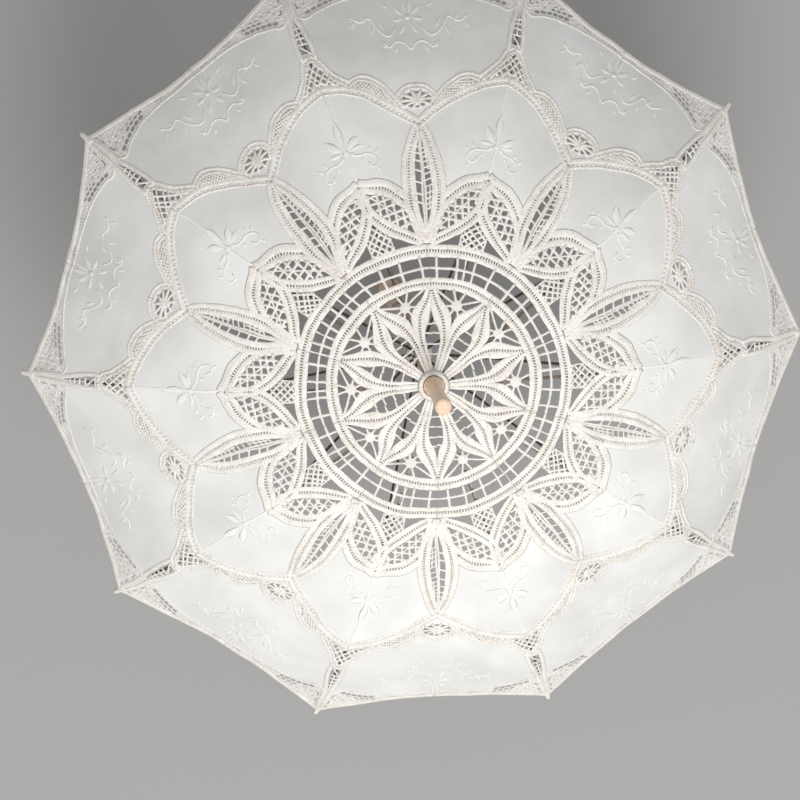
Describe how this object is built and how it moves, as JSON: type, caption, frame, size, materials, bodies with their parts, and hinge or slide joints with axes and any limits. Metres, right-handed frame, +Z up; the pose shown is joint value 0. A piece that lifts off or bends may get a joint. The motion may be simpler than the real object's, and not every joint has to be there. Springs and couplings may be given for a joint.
{
  "type": "lace parasol",
  "caption": "Open tape-lace parasol with a domed scalloped canopy on steel ribs and a turned wooden handle, which folds by a sliding runner.",
  "frame": {"origin": "centre of the handle's flat end", "axes": "+Z up the shaft towards the ferrule; +X along rib 1"},
  "size_m": [0.8164, 0.777, 0.768],
  "materials": {
    "wood": "satin",
    "nickel": "polished",
    "steel": "satin",
    "tip": "satin",
    "cloth": "matte"
  },
  "bodies": {
    "frame": {"shaft": "wood", "handle": "wood", "handle_collar": "nickel", "ferrule": "wood", "crown": "nickel", "crown_wire": "steel", "stop_pin": "steel"},
    "runner_body": {"runner": "nickel"},
    "top_catch_body": {"top_catch": "steel"},
    "bottom_catch_body": {"bottom_catch": "steel"},
    "rib_01_body": {"rib_01": "steel", "joint_pin_01": "nickel", "rib_tip_01": "tip", "canopy_gore_01": "cloth"},
    "stretcher_01_body": {"stretcher_01": "steel"},
    "rib_02_body": {"rib_02": "steel", "joint_pin_02": "nickel", "rib_tip_02": "tip", "canopy_gore_02": "cloth"},
    "stretcher_02_body": {"stretcher_02": "steel"},
    "rib_03_body": {"rib_03": "steel", "joint_pin_03": "nickel", "rib_tip_03": "tip", "canopy_gore_03": "cloth"},
    "stretcher_03_body": {"stretcher_03": "steel"},
    "rib_04_body": {"rib_04": "steel", "joint_pin_04": "nickel", "rib_tip_04": "tip", "canopy_gore_04": "cloth"},
    "stretcher_04_body": {"stretcher_04": "steel"},
    "rib_05_body": {"rib_05": "steel", "joint_pin_05": "nickel", "rib_tip_05": "tip", "canopy_gore_05": "cloth"},
    "stretcher_05_body": {"stretcher_05": "steel"},
    "rib_06_body": {"rib_06": "steel", "joint_pin_06": "nickel", "rib_tip_06": "tip", "canopy_gore_06": "cloth"},
    "stretcher_06_body": {"stretcher_06": "steel"},
    "rib_07_body": {"rib_07": "steel", "joint_pin_07": "nickel", "rib_tip_07": "tip", "canopy_gore_07": "cloth"},
    "stretcher_07_body": {"stretcher_07": "steel"},
    "rib_08_body": {"rib_08": "steel", "joint_pin_08": "nickel", "rib_tip_08": "tip", "canopy_gore_08": "cloth"},
    "stretcher_08_body": {"stretcher_08": "steel"},
    "rib_09_body": {"rib_09": "steel", "joint_pin_09": "nickel", "rib_tip_09": "tip", "canopy_gore_09": "cloth"},
    "stretcher_09_body": {"stretcher_09": "steel"},
    "rib_10_body": {"rib_10": "steel", "joint_pin_10": "nickel", "rib_tip_10": "tip", "canopy_gore_10": "cloth"},
    "stretcher_10_body": {"stretcher_10": "steel"}
  },
  "joints": [
    {"name": "runner_slide", "type": "slide", "parent": "frame", "child": "runner_body", "axis": [0, 0, -1], "range_m": [0, 0.22235], "deforming": ["canopy_gore_01", "canopy_gore_02", "canopy_gore_03", "canopy_gore_04", "canopy_gore_05", "canopy_gore_06", "canopy_gore_07", "canopy_gore_08", "canopy_gore_09", "canopy_gore_10", "top_catch", "bottom_catch"]},
    {"name": "rib_01_hinge", "type": "hinge", "parent": "frame", "child": "rib_01_body", "pos_m": [0.01, 0, 0.664], "axis": [0, 1, 0], "range_deg": [-0.5, 62.5]},
    {"name": "stretcher_01_hinge", "type": "hinge", "parent": "rib_01_body", "child": "stretcher_01_body", "pos_m": [0.18959, 0, 0.63661], "axis": [0, 1, 0], "range_deg": [-98.68, 0.5]},
    {"name": "rib_02_hinge", "type": "hinge", "parent": "frame", "child": "rib_02_body", "pos_m": [0.00809, 0.00588, 0.664], "axis": [-0.5878, 0.809, 0], "range_deg": [-0.5, 62.5]},
    {"name": "stretcher_02_hinge", "type": "hinge", "parent": "rib_02_body", "child": "stretcher_02_body", "pos_m": [0.15338, 0.11144, 0.63661], "axis": [-0.5878, 0.809, 0], "range_deg": [-98.68, 0.5]},
    {"name": "rib_03_hinge", "type": "hinge", "parent": "frame", "child": "rib_03_body", "pos_m": [0.00309, 0.00951, 0.664], "axis": [-0.9511, 0.309, 0], "range_deg": [-0.5, 62.5]},
    {"name": "stretcher_03_hinge", "type": "hinge", "parent": "rib_03_body", "child": "stretcher_03_body", "pos_m": [0.05859, 0.18032, 0.63661], "axis": [-0.9511, 0.309, 0], "range_deg": [-98.68, 0.5]},
    {"name": "rib_04_hinge", "type": "hinge", "parent": "frame", "child": "rib_04_body", "pos_m": [-0.00309, 0.00951, 0.664], "axis": [-0.9511, -0.309, 0], "range_deg": [-0.5, 62.5]},
    {"name": "stretcher_04_hinge", "type": "hinge", "parent": "rib_04_body", "child": "stretcher_04_body", "pos_m": [-0.05859, 0.18032, 0.63661], "axis": [-0.9511, -0.309, 0], "range_deg": [-98.68, 0.5]},
    {"name": "rib_05_hinge", "type": "hinge", "parent": "frame", "child": "rib_05_body", "pos_m": [-0.00809, 0.00588, 0.664], "axis": [-0.5878, -0.809, 0], "range_deg": [-0.5, 62.5]},
    {"name": "stretcher_05_hinge", "type": "hinge", "parent": "rib_05_body", "child": "stretcher_05_body", "pos_m": [-0.15338, 0.11144, 0.63661], "axis": [-0.5878, -0.809, 0], "range_deg": [-98.68, 0.5]},
    {"name": "rib_06_hinge", "type": "hinge", "parent": "frame", "child": "rib_06_body", "pos_m": [-0.01, 0, 0.664], "axis": [0, -1, 0], "range_deg": [-0.5, 62.5]},
    {"name": "stretcher_06_hinge", "type": "hinge", "parent": "rib_06_body", "child": "stretcher_06_body", "pos_m": [-0.18959, 0, 0.63661], "axis": [0, -1, 0], "range_deg": [-98.68, 0.5]},
    {"name": "rib_07_hinge", "type": "hinge", "parent": "frame", "child": "rib_07_body", "pos_m": [-0.00809, -0.00588, 0.664], "axis": [0.5878, -0.809, 0], "range_deg": [-0.5, 62.5]},
    {"name": "stretcher_07_hinge", "type": "hinge", "parent": "rib_07_body", "child": "stretcher_07_body", "pos_m": [-0.15338, -0.11144, 0.63661], "axis": [0.5878, -0.809, 0], "range_deg": [-98.68, 0.5]},
    {"name": "rib_08_hinge", "type": "hinge", "parent": "frame", "child": "rib_08_body", "pos_m": [-0.00309, -0.00951, 0.664], "axis": [0.9511, -0.309, 0], "range_deg": [-0.5, 62.5]},
    {"name": "stretcher_08_hinge", "type": "hinge", "parent": "rib_08_body", "child": "stretcher_08_body", "pos_m": [-0.05859, -0.18032, 0.63661], "axis": [0.9511, -0.309, 0], "range_deg": [-98.68, 0.5]},
    {"name": "rib_09_hinge", "type": "hinge", "parent": "frame", "child": "rib_09_body", "pos_m": [0.00309, -0.00951, 0.664], "axis": [0.9511, 0.309, 0], "range_deg": [-0.5, 62.5]},
    {"name": "stretcher_09_hinge", "type": "hinge", "parent": "rib_09_body", "child": "stretcher_09_body", "pos_m": [0.05859, -0.18032, 0.63661], "axis": [0.9511, 0.309, 0], "range_deg": [-98.68, 0.5]},
    {"name": "rib_10_hinge", "type": "hinge", "parent": "frame", "child": "rib_10_body", "pos_m": [0.00809, -0.00588, 0.664], "axis": [0.5878, 0.809, 0], "range_deg": [-0.5, 62.5]},
    {"name": "stretcher_10_hinge", "type": "hinge", "parent": "rib_10_body", "child": "stretcher_10_body", "pos_m": [0.15338, -0.11144, 0.63661], "axis": [0.5878, 0.809, 0], "range_deg": [-98.68, 0.5]},
    {"name": "top_catch_press", "type": "hinge", "parent": "frame", "child": "top_catch_body", "pos_m": [0.00276, 0.0009, 0.39592], "axis": [-0.309, 0.9511, 0], "range_deg": [-4, 0], "stiffness_Nm_per_rad": 0.2},
    {"name": "bottom_catch_press", "type": "hinge", "parent": "frame", "child": "bottom_catch_body", "pos_m": [0.00276, 0.0009, 0.21157], "axis": [-0.309, 0.9511, 0], "range_deg": [-6, 0], "stiffness_Nm_per_rad": 0.2}
  ],
  "couplings": [
    {"joint": "rib_01_hinge", "follows": "runner_slide", "rad_per_m": 4.8666},
    {"joint": "stretcher_01_hinge", "follows": "runner_slide", "rad_per_m": -7.7067},
    {"joint": "rib_02_hinge", "follows": "runner_slide", "rad_per_m": 4.8666},
    {"joint": "stretcher_02_hinge", "follows": "runner_slide", "rad_per_m": -7.7067},
    {"joint": "rib_03_hinge", "follows": "runner_slide", "rad_per_m": 4.8666},
    {"joint": "stretcher_03_hinge", "follows": "runner_slide", "rad_per_m": -7.7067},
    {"joint": "rib_04_hinge", "follows": "runner_slide", "rad_per_m": 4.8666},
    {"joint": "stretcher_04_hinge", "follows": "runner_slide", "rad_per_m": -7.7067},
    {"joint": "rib_05_hinge", "follows": "runner_slide", "rad_per_m": 4.8666},
    {"joint": "stretcher_05_hinge", "follows": "runner_slide", "rad_per_m": -7.7067},
    {"joint": "rib_06_hinge", "follows": "runner_slide", "rad_per_m": 4.8666},
    {"joint": "stretcher_06_hinge", "follows": "runner_slide", "rad_per_m": -7.7067},
    {"joint": "rib_07_hinge", "follows": "runner_slide", "rad_per_m": 4.8666},
    {"joint": "stretcher_07_hinge", "follows": "runner_slide", "rad_per_m": -7.7067},
    {"joint": "rib_08_hinge", "follows": "runner_slide", "rad_per_m": 4.8666},
    {"joint": "stretcher_08_hinge", "follows": "runner_slide", "rad_per_m": -7.7067},
    {"joint": "rib_09_hinge", "follows": "runner_slide", "rad_per_m": 4.8666},
    {"joint": "stretcher_09_hinge", "follows": "runner_slide", "rad_per_m": -7.7067},
    {"joint": "rib_10_hinge", "follows": "runner_slide", "rad_per_m": 4.8666},
    {"joint": "stretcher_10_hinge", "follows": "runner_slide", "rad_per_m": -7.7067}
  ]
}
